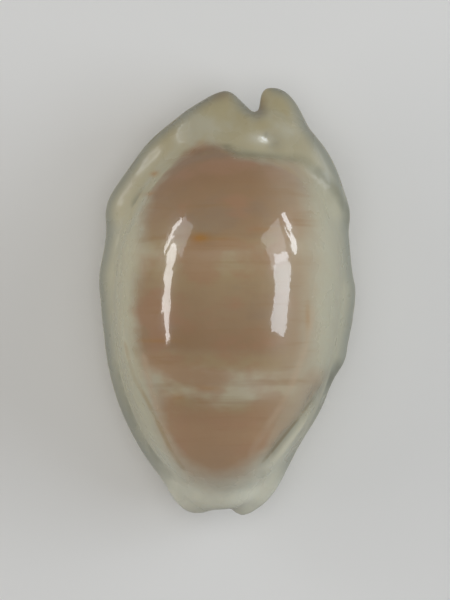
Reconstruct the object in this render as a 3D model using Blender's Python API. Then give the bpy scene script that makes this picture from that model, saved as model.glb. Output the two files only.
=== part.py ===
"""Shell of a clandestine cowrie: one hollow piece that rests on its base.

Metres, +Z up. The posterior end, with the deep notch, points along +Y and the anterior end along -Y.
The outer lip is on the -X side and the columella on the +X side.
The origin is the middle of the underside of the shell's box.
"""

import math

import bmesh
import bpy
from mathutils import Matrix, Vector

MM = 0.001

# Driving dimensions
SHELL_LENGTH = 18.0 * MM
SHELL_WIDTH = 10.8 * MM
SHELL_HEIGHT = 8.6 * MM

HALF_LENGTH = SHELL_LENGTH / 2
HALF_WIDTH = SHELL_WIDTH / 2

# Domed body: its widest level, and where its posterior and anterior halves meet
RIM_HEIGHT = 0.27 * SHELL_HEIGHT
BODY_HALF_WIDTH = 0.885 * HALF_WIDTH
BODY_MIDDLE = 0.07 * HALF_LENGTH
BODY_POSTERIOR = 0.675 * HALF_LENGTH
BODY_ANTERIOR = 0.985 * HALF_LENGTH
BODY_LEAN = 0.025
BODY_SKEW = 0.15
BODY_POSTERIOR_SHIFT = 0.09 * HALF_WIDTH
BASE_DEPTH = RIM_HEIGHT - 0.01 * SHELL_HEIGHT

# Roundness of the body's outline, of its back and of its base towards each end:
# above 1 tapers and below 1 is blunt
PLAN_TAPER = {"posterior": 0.85, "anterior": 1.10}
BACK_TAPER = {"posterior": 0.95, "anterior": 1.32}
BASE_TAPER = {"posterior": 0.45, "anterior": 0.45}
BACK_FULLNESS = 2 / 2.1
BASE_FULLNESS = 2 / 2.7

# Outlines of the two margins seen from above. The labral one starts at the floor of the posterior
# notch and ends at the floor of the anterior one, and the columellar one runs from tip to tip.
# Each row: across and along as shares of the half width and half length,
# then the margin's radius and the height of its middle in millimetres.
LABRAL_MARGIN = (
    (0.232, 0.882, 0.52, 2.9),
    (0.169, 0.903, 0.50, 2.8),
    (0.107, 0.941, 0.47, 2.6),
    (0.062, 0.980, 0.46, 2.5),
    (-0.002, 0.999, 0.50, 2.4),
    (-0.092, 0.982, 0.56, 2.3),
    (-0.172, 0.956, 0.64, 2.2),
    (-0.361, 0.876, 0.86, 2.1),
    (-0.603, 0.757, 1.00, 2.0),
    (-0.782, 0.612, 1.05, 1.9),
    (-0.922, 0.485, 1.05, 1.9),
    (-0.950, 0.411, 1.00, 1.9),
    (-0.938, 0.326, 0.92, 1.9),
    (-0.965, 0.223, 0.92, 1.8),
    (-0.996, 0.125, 0.95, 1.8),
    (-0.985, 0.008, 0.92, 1.8),
    (-0.957, -0.165, 0.88, 1.8),
    (-0.918, -0.329, 0.82, 1.8),
    (-0.823, -0.516, 0.75, 1.8),
    (-0.665, -0.703, 0.72, 1.9),
    (-0.501, -0.839, 0.78, 1.9),
    (-0.439, -0.909, 0.85, 1.8),
    (-0.345, -0.974, 0.88, 1.7),
    (-0.236, -1.000, 0.86, 1.7),
    (-0.127, -0.981, 0.74, 1.9),
    (-0.041, -0.964, 0.64, 2.2),
    (0.052, -0.955, 0.56, 2.4),
)
COLUMELLAR_MARGIN = (
    (0.396, 1.003, 0.71, 2.1),
    (0.497, 0.970, 0.75, 2.1),
    (0.572, 0.892, 0.80, 2.2),
    (0.660, 0.785, 0.85, 2.4),
    (0.785, 0.668, 0.85, 2.4),
    (0.887, 0.546, 0.78, 2.4),
    (0.957, 0.420, 0.72, 2.2),
    (0.941, 0.336, 0.72, 2.0),
    (0.961, 0.214, 0.74, 1.9),
    (0.974, 0.120, 0.76, 1.8),
    (1.000, 0.069, 0.80, 1.7),
    (0.980, -0.067, 0.76, 1.7),
    (0.933, -0.216, 0.72, 1.8),
    (0.914, -0.282, 0.70, 1.9),
    (0.824, -0.366, 0.62, 2.0),
    (0.720, -0.516, 0.62, 2.1),
    (0.572, -0.661, 0.64, 2.2),
    (0.455, -0.801, 0.64, 2.1),
    (0.375, -0.890, 0.60, 1.9),
    (0.272, -0.958, 0.54, 1.7),
    (0.160, -1.003, 0.45, 1.5),
)

# Callus pads: middle and half sizes in millimetres, and the turn about +Z in degrees
SHELF_PAD = ((0.60, 5.70, 3.0), (3.1, 1.7, 1.5), -12)
CORNER_PAD = ((-1.00, 7.20, 2.7), (1.8, 1.1, 1.0), 33)
SHOULDER_PAD = ((3.55, 5.50, 2.85), (0.95, 2.3, 1.1), 27)
POSTERIOR_ROOF_PAD = ((0.90, 7.10, 2.9), (1.6, 0.95, 0.9), -5)
ANTERIOR_ROOF_PAD = ((-0.30, -7.80, 2.5), (1.5, 0.95, 0.85), 0)
LABRAL_LIP_PAD = ((-2.15, -0.40, 1.6), (2.0, 6.6, 1.65), 0)
COLUMELLAR_LIP_PAD = ((1.30, -0.40, 1.6), (2.0, 6.4, 1.65), 0)
CALLUS_FILLET = 0.8 * MM
SKIN_FILLET = 0.3 * MM

# Posterior notch seen from above, from its labral side to its columellar side, as shares
POSTERIOR_NOTCH = (
    (0.050, 1.050),
    (0.090, 0.955),
    (0.165, 0.902),
    (0.228, 0.858),
    (0.246, 0.905),
    (0.255, 0.950),
    (0.290, 1.050),
)

# Pit where the spire is buried: place and size in millimetres
SPIRE_PIT_MIDDLE = (1.78, 6.60)
SPIRE_PIT_RADIUS = 0.40
SPIRE_PIT_DEPTH = 0.34

# Aperture, from the posterior notch to the anterior one: across, along, half width in millimetres
APERTURE = (
    (0.165, 1.150, 0.36),
    (0.175, 0.950, 0.36),
    (0.180, 0.850, 0.36),
    (0.110, 0.730, 0.38),
    (-0.010, 0.580, 0.40),
    (-0.090, 0.350, 0.42),
    (-0.120, 0.050, 0.45),
    (-0.110, -0.300, 0.52),
    (-0.080, -0.600, 0.60),
    (-0.060, -0.850, 0.48),
    (-0.060, -1.150, 0.40),
)
LIP_FLARE = 0.50 * MM
LIP_FLARE_AT_ENDS = 0.12 * MM
LIP_DEPTH = 0.55 * MM
APERTURE_TOP = 2.5 * MM
APERTURE_TOP_AT_ENDS = 1.6 * MM

# Arch of the aperture's roof: its rise and its flat part, as shares of the half width
ROOF_ARCH = 0.8
ROOF_FLAT = 0.5

# Teeth: ridges across each lip, evenly spaced along it, with a groove between each two
LABRAL_TEETH = 19
COLUMELLAR_TEETH = 17
GROOVE_DEPTH = 0.20 * MM
TEETH_START = -0.88 * HALF_LENGTH
TEETH_END = 0.82 * HALF_LENGTH
LABRAL_TOOTH_REACH = 1.5 * MM
COLUMELLAR_TOOTH_REACH = 1.1 * MM
GROOVE_FLOOR = 0.25
GROOVE_SHARPNESS = 0.8
TEETH_FADE = 0.8 * MM
TEETH_TOP = 1.5 * MM

# Living chamber and the inner whorl that shows in it
WALL = 0.75 * MM
WHORL_MIDDLE = (1.6, 0.5, 2.6)
WHORL_HALF = (2.6, 5.6, 2.1)

# Worn flats that the shell rests on
WORN_DEPTH = 0.06 * MM

# Mesh fineness: balls are spaced by a share of their radius
BALL_SPACING = 0.18
BODY_SEGMENTS = 64
BODY_RINGS = 48
PAD_SEGMENTS = 40
PAD_RINGS = 24
MARGIN_STEPS = 3
APERTURE_STEPS = 6
VOXEL = 0.13 * MM
ROUNDING_STEPS = 14
JOINING_STEPS = 2
LIP_ROUNDING_STEPS = 4
TRIANGLES = 8000


def clear_scene():
    for thing in list(bpy.data.objects):
        bpy.data.objects.remove(thing)


def between(before, start, end, after, t):
    """Value on a Catmull-Rom curve, from start at t = 0 to end at t = 1."""
    square = 2 * before - 5 * start + 4 * end - after
    cube = 3 * start - before - 3 * end + after
    return 0.5 * (2 * start + (end - before) * t + square * t**2 + cube * t**3)


def smooth_route(rows, per_span):
    """Rows on a smooth curve through a table's rows."""
    padded = [rows[0], *rows, rows[-1]]
    found = []
    for quad in zip(padded, padded[1:], padded[2:], padded[3:]):
        for step in range(per_span):
            found.append(tuple(between(*values, step / per_span) for values in zip(*quad)))
    found.append(rows[-1])
    return found


def placed(row):
    """Across, along, radius and height of a table row, in metres."""
    across, along, radius, height = row
    return across * HALF_WIDTH, along * HALF_LENGTH, radius * MM, height * MM


def margin_route(table, inward):
    """Middles and radii of a margin whose outline, seen from above, is the table's."""
    edge = [placed(row) for row in smooth_route(table, MARGIN_STEPS)]
    route = []
    for i, (x, y, radius, height) in enumerate(edge):
        before = edge[max(i - 1, 0)]
        after = edge[min(i + 1, len(edge) - 1)]
        along = Vector((after[0] - before[0], after[1] - before[1])).normalized()
        route.append((Vector((x - along.y * inward * radius, y + along.x * inward * radius, height)), radius))
    return route


def mesh_object(name, bm):
    mesh = bpy.data.meshes.new(name)
    bmesh.ops.recalc_face_normals(bm, faces=bm.faces)
    bm.to_mesh(mesh)
    bm.free()
    thing = bpy.data.objects.new(name, mesh)
    bpy.context.scene.collection.objects.link(thing)
    return thing


def rope_of_balls(name, route):
    """A round margin: balls along the route, close enough to run together when they are voxelised."""
    bm = bmesh.new()
    for (start, r0), (end, r1) in zip(route, route[1:]):
        steps = max(1, math.ceil((end - start).length / (BALL_SPACING * min(r0, r1))))
        for step in range(steps):
            t = step / steps
            ball = bmesh.ops.create_icosphere(bm, subdivisions=2, radius=r0 + (r1 - r0) * t)
            bmesh.ops.translate(bm, verts=ball["verts"], vec=start.lerp(end, t))
    ball = bmesh.ops.create_icosphere(bm, subdivisions=2, radius=route[-1][1])
    bmesh.ops.translate(bm, verts=ball["verts"], vec=route[-1][0])
    return mesh_object(name, bm)


def power(value, exponent):
    return math.copysign(abs(value) ** exponent, value)


def body_point(n, inset=0.0):
    """Place on the domed body of a point of the unit sphere, moved in by inset."""
    end = "posterior" if n.y > 0 else "anterior"
    reach = (BODY_POSTERIOR if n.y > 0 else BODY_ANTERIOR) - inset
    around = math.hypot(n.x, n.z)
    side = n.x / around if around else 0.0
    lift = n.z / around if around else 0.0
    fullness = BACK_FULLNESS if lift > 0 else BASE_FULLNESS
    width = (BODY_HALF_WIDTH - inset) * around ** PLAN_TAPER[end]
    if lift > 0:
        depth = (SHELL_HEIGHT - RIM_HEIGHT - inset) * around ** BACK_TAPER[end]
    else:
        depth = (BASE_DEPTH - inset) * around ** BASE_TAPER[end]
    posterior = max(0.0, n.y) ** 2
    across = width * power(side, fullness)
    y = BODY_MIDDLE + reach * n.y - BODY_SKEW * across * posterior
    x = across + BODY_LEAN * y + BODY_POSTERIOR_SHIFT * posterior
    return Vector((x, y, RIM_HEIGHT + depth * power(lift, fullness)))


def make_body(name, inset=0.0):
    bm = bmesh.new()
    bmesh.ops.create_uvsphere(bm, u_segments=BODY_SEGMENTS, v_segments=BODY_RINGS, radius=1.0)
    for vert in bm.verts:
        pole_along_y = Vector((vert.co.x, vert.co.z, vert.co.y))
        vert.co = body_point(pole_along_y, inset)
    return mesh_object(name, bm)


def make_ellipsoid(name, middle, half, turn=0):
    bm = bmesh.new()
    bmesh.ops.create_uvsphere(bm, u_segments=PAD_SEGMENTS, v_segments=PAD_RINGS, radius=1.0)
    bmesh.ops.scale(bm, verts=bm.verts, vec=[size * MM for size in half])
    bmesh.ops.rotate(bm, verts=bm.verts, cent=(0, 0, 0), matrix=Matrix.Rotation(math.radians(turn), 3, "Z"))
    bmesh.ops.translate(bm, verts=bm.verts, vec=[place * MM for place in middle])
    return mesh_object(name, bm)


def aperture_route():
    """Middle and half width of the aperture, close together, from the posterior end."""
    rows = smooth_route(APERTURE, APERTURE_STEPS)
    return [(Vector((x * HALF_WIDTH, y * HALF_LENGTH, 0)), half * MM) for x, y, half in rows]


def make_aperture_cutter():
    """A blade along the aperture, flared below so that both lips round over, and arched above."""
    route = aperture_route()
    bm = bmesh.new()
    rings = []
    for i, (middle, half) in enumerate(route):
        before = route[max(i - 1, 0)][0]
        after = route[min(i + 1, len(route) - 1)][0]
        along = (after - before).normalized()
        across = Vector((-along.y, along.x, 0))
        share = min(1.0, abs(middle.y) / HALF_LENGTH) ** 4
        top = APERTURE_TOP + (APERTURE_TOP_AT_ENDS - APERTURE_TOP) * share
        flare = LIP_FLARE + (LIP_FLARE_AT_ENDS - LIP_FLARE) * share
        profile = (
            (half + flare * 1.4, -LIP_DEPTH),
            (half + flare, 0.0),
            (half + flare * 0.3, LIP_DEPTH * 0.6),
            (half, LIP_DEPTH * 1.3),
            (half, top - half * ROOF_ARCH),
            (half * ROOF_FLAT, top),
        )
        outline = [(-w, z) for w, z in profile] + [(w, z) for w, z in reversed(profile)]
        rings.append([bm.verts.new(middle + across * w + Vector((0, 0, z))) for w, z in outline])
    for ring, following in zip(rings, rings[1:]):
        for k in range(len(ring)):
            j = (k + 1) % len(ring)
            bm.faces.new((ring[k], ring[j], following[j], following[k]))
    bm.faces.new(rings[0])
    bm.faces.new(list(reversed(rings[-1])))
    return mesh_object("aperture_cutter", bm)


def make_notch_cutter():
    """An upright wedge over the posterior notch."""
    bm = bmesh.new()
    outline = [bm.verts.new((x * HALF_WIDTH, y * HALF_LENGTH, 0)) for x, y in POSTERIOR_NOTCH]
    floor = bm.faces.new(outline)
    walls = bmesh.ops.extrude_face_region(bm, geom=[floor])
    raised = [item for item in walls["geom"] if isinstance(item, bmesh.types.BMVert)]
    bmesh.ops.translate(bm, verts=raised, vec=(0, 0, SHELL_HEIGHT))
    return mesh_object("notch_cutter", bm)


def join(name, things):
    bm = bmesh.new()
    for thing in things:
        bm.from_mesh(thing.data)
        bpy.data.objects.remove(thing)
    return mesh_object(name, bm)


def apply_modifiers(thing):
    """Bakes the modifiers into the mesh and clears them."""
    graph = bpy.context.evaluated_depsgraph_get()
    mesh = bpy.data.meshes.new_from_object(thing.evaluated_get(graph))
    thing.modifiers.clear()
    thing.data = mesh


def voxelise(thing, steps):
    remesh = thing.modifiers.new("one skin", "REMESH")
    remesh.mode = "VOXEL"
    remesh.voxel_size = VOXEL
    soften = thing.modifiers.new("rounding", "SMOOTH")
    soften.factor = 0.5
    soften.iterations = steps
    apply_modifiers(thing)


def fill_grooves(thing, reach):
    """Grows the skin by reach and shrinks it back, which leaves a fillet of that radius in each groove."""
    for way in (1, -1):
        grow = thing.modifiers.new("grow", "DISPLACE")
        grow.mid_level = 0.0
        grow.strength = way * reach
        voxelise(thing, JOINING_STEPS)


def cut(thing, cutter):
    boolean = thing.modifiers.new("cut", "BOOLEAN")
    boolean.operation = "DIFFERENCE"
    boolean.solver = "EXACT"
    boolean.object = cutter
    apply_modifiers(thing)
    bpy.data.objects.remove(cutter)


def press_spire_pit(shell):
    for vert in shell.data.vertices:
        if vert.co.z < RIM_HEIGHT:
            continue
        away = math.hypot(vert.co.x - SPIRE_PIT_MIDDLE[0] * MM, vert.co.y - SPIRE_PIT_MIDDLE[1] * MM)
        vert.co.z -= SPIRE_PIT_DEPTH * MM * math.exp(-((away / (SPIRE_PIT_RADIUS * MM)) ** 2))


def ease(value, start, end):
    """0 at start and 1 at end, with a smooth run between them."""
    t = min(1.0, max(0.0, (value - start) / (end - start)))
    return t * t * (3 - 2 * t)


def aperture_at(y, route):
    """Middle and half width of the aperture where it crosses y."""
    for (upper, upper_half), (lower, lower_half) in zip(route, route[1:]):
        if lower.y <= y:
            share = (y - upper.y) / (lower.y - upper.y)
            return upper.x + (lower.x - upper.x) * share, upper_half + (lower_half - upper_half) * share
    return route[-1][0].x, route[-1][1]


def sink_between_teeth(shell):
    """Grooves across both lips and up into the aperture, which leave the teeth standing between them."""
    route = aperture_route()
    span = TEETH_END - TEETH_START
    normals = [vert.normal.copy() for vert in shell.data.vertices]
    for vert, normal in zip(shell.data.vertices, normals):
        x, y, z = vert.co
        if z > TEETH_TOP or not TEETH_START < y < TEETH_END:
            continue
        middle, half = aperture_at(y, route)
        labral = x < middle
        reach = LABRAL_TOOTH_REACH if labral else COLUMELLAR_TOOTH_REACH
        count = LABRAL_TEETH if labral else COLUMELLAR_TEETH
        away = abs(x - middle) - half
        groove = (0.5 + 0.5 * math.cos(2 * math.pi * count * (y - TEETH_START) / span)) ** GROOVE_SHARPNESS
        outwards = 1 - ease(away, GROOVE_FLOOR * reach, reach)
        upwards = 1 - ease(z, TEETH_TOP / 2, TEETH_TOP)
        ends = ease(y, TEETH_START, TEETH_START + TEETH_FADE) - ease(y, TEETH_END - TEETH_FADE, TEETH_END)
        vert.co -= normal * GROOVE_DEPTH * groove * outwards * upwards * ends


def fit_to_size(shell):
    """Scales the shell to its driving dimensions, a little low, so that its base can be worn flat."""
    lowest = [min(vert.co[axis] for vert in shell.data.vertices) for axis in range(3)]
    highest = [max(vert.co[axis] for vert in shell.data.vertices) for axis in range(3)]
    wanted_low = (-HALF_WIDTH, -HALF_LENGTH, -WORN_DEPTH)
    wanted_high = (HALF_WIDTH, HALF_LENGTH, SHELL_HEIGHT)
    for vert in shell.data.vertices:
        for axis in range(3):
            share = (vert.co[axis] - lowest[axis]) / (highest[axis] - lowest[axis])
            vert.co[axis] = wanted_low[axis] + share * (wanted_high[axis] - wanted_low[axis])


def thin_mesh(shell):
    decimate = shell.modifiers.new("fewer facets", "DECIMATE")
    decimate.ratio = TRIANGLES / (2 * len(shell.data.polygons))
    decimate.use_collapse_triangulate = True
    apply_modifiers(shell)


def wear_base(shell):
    """Worn flats at z = 0 on both sides of the aperture."""
    bm = bmesh.new()
    bmesh.ops.create_cube(bm, size=1.0)
    bmesh.ops.scale(bm, verts=bm.verts, vec=(2 * SHELL_WIDTH, 2 * SHELL_LENGTH, SHELL_HEIGHT))
    bmesh.ops.translate(bm, verts=bm.verts, vec=(0, 0, -SHELL_HEIGHT / 2))
    cut(shell, mesh_object("wear", bm))


def shell_material():
    material = bpy.data.materials.new("shell_enamel")
    material.use_nodes = True
    shader = material.node_tree.nodes["Principled BSDF"]
    shader.inputs["Base Color"].default_value = (0.42, 0.31, 0.20, 1.0)
    shader.inputs["Roughness"].default_value = 0.18
    shader.inputs["Metallic"].default_value = 0.0
    return material


def main():
    clear_scene()
    labral_side = [
        make_body("body"),
        rope_of_balls("labral", margin_route(LABRAL_MARGIN, 1)),
        make_ellipsoid("shelf", *SHELF_PAD),
        make_ellipsoid("corner", *CORNER_PAD),
        make_ellipsoid("shoulder", *SHOULDER_PAD),
        make_ellipsoid("labral_lip", *LABRAL_LIP_PAD),
        make_ellipsoid("columellar_lip", *COLUMELLAR_LIP_PAD),
    ]
    filled = join("filled", labral_side)
    voxelise(filled, JOINING_STEPS)
    fill_grooves(filled, CALLUS_FILLET)
    columellar_side = [
        rope_of_balls("columellar", margin_route(COLUMELLAR_MARGIN, -1)),
        make_ellipsoid("posterior_roof", *POSTERIOR_ROOF_PAD),
        make_ellipsoid("anterior_roof", *ANTERIOR_ROOF_PAD),
    ]
    shell = join("shell", [filled, *columellar_side])
    voxelise(shell, JOINING_STEPS)
    fill_grooves(shell, SKIN_FILLET)
    cut(shell, make_notch_cutter())
    voxelise(shell, ROUNDING_STEPS)
    press_spire_pit(shell)
    cut(shell, make_aperture_cutter())
    chamber = make_body("chamber", WALL)
    cut(chamber, make_ellipsoid("whorl", WHORL_MIDDLE, WHORL_HALF))
    cut(shell, chamber)
    voxelise(shell, LIP_ROUNDING_STEPS)
    sink_between_teeth(shell)
    thin_mesh(shell)
    fit_to_size(shell)
    wear_base(shell)
    shell.data.materials.clear()
    shell.data.materials.append(shell_material())
    shell.data.shade_smooth()
    shell.data.set_sharp_from_angle(angle=math.radians(40))


main()
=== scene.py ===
"""Clandestine cowrie shell, resting on a pale floor under soft studio light.

Metres, +Z up. The posterior end, with the deep notch, points along +Y and the anterior end along -Y.
The outer lip is on the -X side and the columella on the +X side.
"""

import math

import bmesh
import bpy
import numpy as np
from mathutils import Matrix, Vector
from mathutils.bvhtree import BVHTree


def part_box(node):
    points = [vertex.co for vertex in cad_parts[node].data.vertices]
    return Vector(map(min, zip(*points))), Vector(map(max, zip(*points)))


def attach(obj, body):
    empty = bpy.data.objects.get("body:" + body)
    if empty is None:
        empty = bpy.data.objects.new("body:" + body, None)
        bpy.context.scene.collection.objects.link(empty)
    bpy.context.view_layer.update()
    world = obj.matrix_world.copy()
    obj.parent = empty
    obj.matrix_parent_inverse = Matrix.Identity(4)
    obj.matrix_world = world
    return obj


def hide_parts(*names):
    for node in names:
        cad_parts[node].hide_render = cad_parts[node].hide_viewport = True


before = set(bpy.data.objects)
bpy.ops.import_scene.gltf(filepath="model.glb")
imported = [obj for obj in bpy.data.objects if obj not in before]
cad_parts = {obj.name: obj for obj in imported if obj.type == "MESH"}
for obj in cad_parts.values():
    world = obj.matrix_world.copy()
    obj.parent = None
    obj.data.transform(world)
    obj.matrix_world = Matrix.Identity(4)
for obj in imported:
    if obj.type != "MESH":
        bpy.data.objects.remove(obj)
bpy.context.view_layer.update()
shell_low, shell_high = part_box("shell")

MM = 0.001

# Driving dimensions, from the frame
SHELL_WIDTH = shell_high[0] - shell_low[0]
SHELL_LENGTH = shell_high[1] - shell_low[1]
SHELL_HEIGHT = shell_high[2] - shell_low[2]
HALF_WIDTH = SHELL_WIDTH / 2
HALF_LENGTH = SHELL_LENGTH / 2

# Domed body: its widest level, and where its posterior and anterior halves meet
RIM_HEIGHT = 0.27 * SHELL_HEIGHT
BODY_HALF_WIDTH = 0.885 * HALF_WIDTH
BODY_MIDDLE = 0.07 * HALF_LENGTH
BODY_POSTERIOR = 0.675 * HALF_LENGTH
BODY_ANTERIOR = 0.985 * HALF_LENGTH
BODY_LEAN = 0.025
BODY_SKEW = 0.15
BODY_POSTERIOR_SHIFT = 0.09 * HALF_WIDTH
BASE_DEPTH = RIM_HEIGHT - 0.01 * SHELL_HEIGHT

# Roundness of the body's outline, of its back and of its base towards each end:
# above 1 tapers and below 1 is blunt
PLAN_TAPER = {"posterior": 0.85, "anterior": 1.10}
BACK_TAPER = {"posterior": 0.95, "anterior": 1.32}
BASE_TAPER = {"posterior": 0.45, "anterior": 0.45}
BACK_FULLNESS = 2 / 2.1
BASE_FULLNESS = 2 / 2.7

# Outlines of the two margins seen from above. The labral one starts at the floor of the posterior
# notch and ends at the floor of the anterior one, and the columellar one runs from tip to tip.
# Each row: across and along as shares of the half width and half length,
# then the margin's radius and the height of its middle in millimetres.
LABRAL_MARGIN = (
    (0.232, 0.882, 0.52, 2.9),
    (0.169, 0.903, 0.50, 2.8),
    (0.107, 0.941, 0.47, 2.6),
    (0.062, 0.980, 0.46, 2.5),
    (-0.002, 0.999, 0.50, 2.4),
    (-0.092, 0.982, 0.56, 2.3),
    (-0.172, 0.956, 0.64, 2.2),
    (-0.361, 0.876, 0.86, 2.1),
    (-0.603, 0.757, 1.00, 2.0),
    (-0.782, 0.612, 1.05, 1.9),
    (-0.922, 0.485, 1.05, 1.9),
    (-0.950, 0.411, 1.00, 1.9),
    (-0.938, 0.326, 0.92, 1.9),
    (-0.965, 0.223, 0.92, 1.8),
    (-0.996, 0.125, 0.95, 1.8),
    (-0.985, 0.008, 0.92, 1.8),
    (-0.957, -0.165, 0.88, 1.8),
    (-0.918, -0.329, 0.82, 1.8),
    (-0.823, -0.516, 0.75, 1.8),
    (-0.665, -0.703, 0.72, 1.9),
    (-0.501, -0.839, 0.78, 1.9),
    (-0.439, -0.909, 0.85, 1.8),
    (-0.345, -0.974, 0.88, 1.7),
    (-0.236, -1.000, 0.86, 1.7),
    (-0.127, -0.981, 0.74, 1.9),
    (-0.041, -0.964, 0.64, 2.2),
    (0.052, -0.955, 0.56, 2.4),
)
COLUMELLAR_MARGIN = (
    (0.396, 1.003, 0.71, 2.1),
    (0.497, 0.970, 0.75, 2.1),
    (0.572, 0.892, 0.80, 2.2),
    (0.660, 0.785, 0.85, 2.4),
    (0.785, 0.668, 0.85, 2.4),
    (0.887, 0.546, 0.78, 2.4),
    (0.957, 0.420, 0.72, 2.2),
    (0.941, 0.336, 0.72, 2.0),
    (0.961, 0.214, 0.74, 1.9),
    (0.974, 0.120, 0.76, 1.8),
    (1.000, 0.069, 0.80, 1.7),
    (0.980, -0.067, 0.76, 1.7),
    (0.933, -0.216, 0.72, 1.8),
    (0.914, -0.282, 0.70, 1.9),
    (0.824, -0.366, 0.62, 2.0),
    (0.720, -0.516, 0.62, 2.1),
    (0.572, -0.661, 0.64, 2.2),
    (0.455, -0.801, 0.64, 2.1),
    (0.375, -0.890, 0.60, 1.9),
    (0.272, -0.958, 0.54, 1.7),
    (0.160, -1.003, 0.45, 1.5),
)

# Callus pads: middle and half sizes in millimetres, and the turn about +Z in degrees
SHELF_PAD = ((0.60, 5.70, 3.0), (3.1, 1.7, 1.5), -12)
CORNER_PAD = ((-1.00, 7.20, 2.7), (1.8, 1.1, 1.0), 33)
SHOULDER_PAD = ((3.55, 5.50, 2.85), (0.95, 2.3, 1.1), 27)
POSTERIOR_ROOF_PAD = ((1.50, 6.95, 2.95), (1.9, 1.1, 0.98), -12)
ANTERIOR_ROOF_PAD = ((-0.30, -7.80, 2.5), (1.5, 0.95, 0.85), 0)
LABRAL_LIP_PAD = ((-2.15, -0.40, 1.6), (2.0, 6.6, 1.65), 0)
COLUMELLAR_LIP_PAD = ((1.30, -0.40, 1.6), (2.0, 6.4, 1.65), 0)
CALLUS_FILLET = 0.8 * MM
SKIN_FILLET = 0.3 * MM

# Posterior notch seen from above, from its labral side to its columellar side, as shares
POSTERIOR_NOTCH = (
    (0.050, 1.050),
    (0.090, 0.955),
    (0.165, 0.902),
    (0.228, 0.858),
    (0.246, 0.905),
    (0.255, 0.950),
    (0.290, 1.050),
)

# Pit where the spire is buried: place and size in millimetres
SPIRE_PIT_MIDDLE = (1.78, 6.60)
SPIRE_PIT_RADIUS = 0.38
SPIRE_PIT_DEPTH = 0.34

# Aperture, from the posterior notch to the anterior one. Each row: across and along as shares of the
# half width and half length, and half of the opening's width in millimetres.
APERTURE = (
    (0.165, 1.150, 0.36),
    (0.175, 0.950, 0.36),
    (0.180, 0.850, 0.36),
    (0.110, 0.730, 0.38),
    (-0.010, 0.580, 0.40),
    (-0.090, 0.350, 0.42),
    (-0.120, 0.050, 0.45),
    (-0.110, -0.300, 0.52),
    (-0.080, -0.600, 0.60),
    (-0.060, -0.850, 0.48),
    (-0.060, -1.150, 0.40),
)

# Rounding of both lips and top of the cut, with their values at the aperture's two ends
LIP_FLARE = 0.50 * MM
LIP_FLARE_AT_ENDS = 0.12 * MM
LIP_DEPTH = 0.55 * MM
APERTURE_TOP = 2.5 * MM
APERTURE_TOP_AT_ENDS = 1.6 * MM
END_SHARPNESS = 4

# Section of the cut at a lip: flares out from the opening's half width, and lip depths up
LIP_SECTION = (
    (1.4, -1.0),
    (1.0, 0.0),
    (0.3, 0.6),
    (0.0, 1.3),
)

# Arch of the aperture's roof: its rise and its flat part, as shares of the opening's half width
ROOF_ARCH = 0.8
ROOF_FLAT = 0.5

# Teeth: ridges across each lip, evenly spaced along it, with a groove between each two. A groove keeps
# its depth for GROOVE_FLOOR of its reach, and a sharpness under 1 makes it a little wider.
LABRAL_TEETH = 19
COLUMELLAR_TEETH = 17
GROOVE_DEPTH = 0.20 * MM
TEETH_START = -0.88 * HALF_LENGTH
TEETH_END = 0.82 * HALF_LENGTH
LABRAL_TOOTH_REACH = 1.5 * MM
COLUMELLAR_TOOTH_REACH = 1.1 * MM
GROOVE_FLOOR = 0.25
GROOVE_SHARPNESS = 0.8
TEETH_FADE = 0.8 * MM
TEETH_TOP = 1.5 * MM

# Living chamber and the inner whorl that shows in it
WALL = 0.75 * MM
WHORL_MIDDLE = (1.6, 0.5, 2.6)
WHORL_HALF = (2.6, 5.6, 2.1)

# A point is inside where no look upwards gets out, and where it also faces up, lies high or has
# the shell below it. Each look starts a little off the skin.
LOOKS_UP = (
    (0, 0, 1),
    (1, 0, 1),
    (-1, 0, 1),
    (0, 1, 1),
    (0, -1, 1),
)
LOOK_LIFT = 0.02 * MM
CHAMBER_HEIGHT = 3.5 * MM

# Worn flats that the shell rests on
WORN_DEPTH = 0.06 * MM

# Outline of the tan back seen from above, in millimetres
TAN_OUTLINE = (
    (-0.77, 6.68),
    (-0.14, 6.49),
    (0.48, 6.18),
    (1.17, 6.05),
    (2.09, 5.97),
    (3.02, 5.80),
    (3.48, 4.70),
    (3.69, 3.44),
    (3.82, 1.76),
    (3.73, -0.35),
    (3.69, -2.03),
    (3.75, -3.20),
    (3.55, -3.97),
    (2.77, -4.98),
    (1.97, -6.12),
    (1.12, -7.00),
    (0.30, -7.45),
    (-0.50, -7.75),
    (-1.30, -7.50),
    (-2.10, -6.80),
    (-2.80, -5.40),
    (-3.25, -3.93),
    (-3.65, -2.87),
    (-3.95, -1.82),
    (-3.99, -0.77),
    (-3.97, 0.49),
    (-3.88, 1.55),
    (-3.70, 2.60),
    (-3.57, 3.45),
    (-3.36, 4.51),
    (-2.98, 5.06),
    (-2.62, 5.50),
    (-2.05, 6.11),
    (-1.37, 6.56),
)

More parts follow.
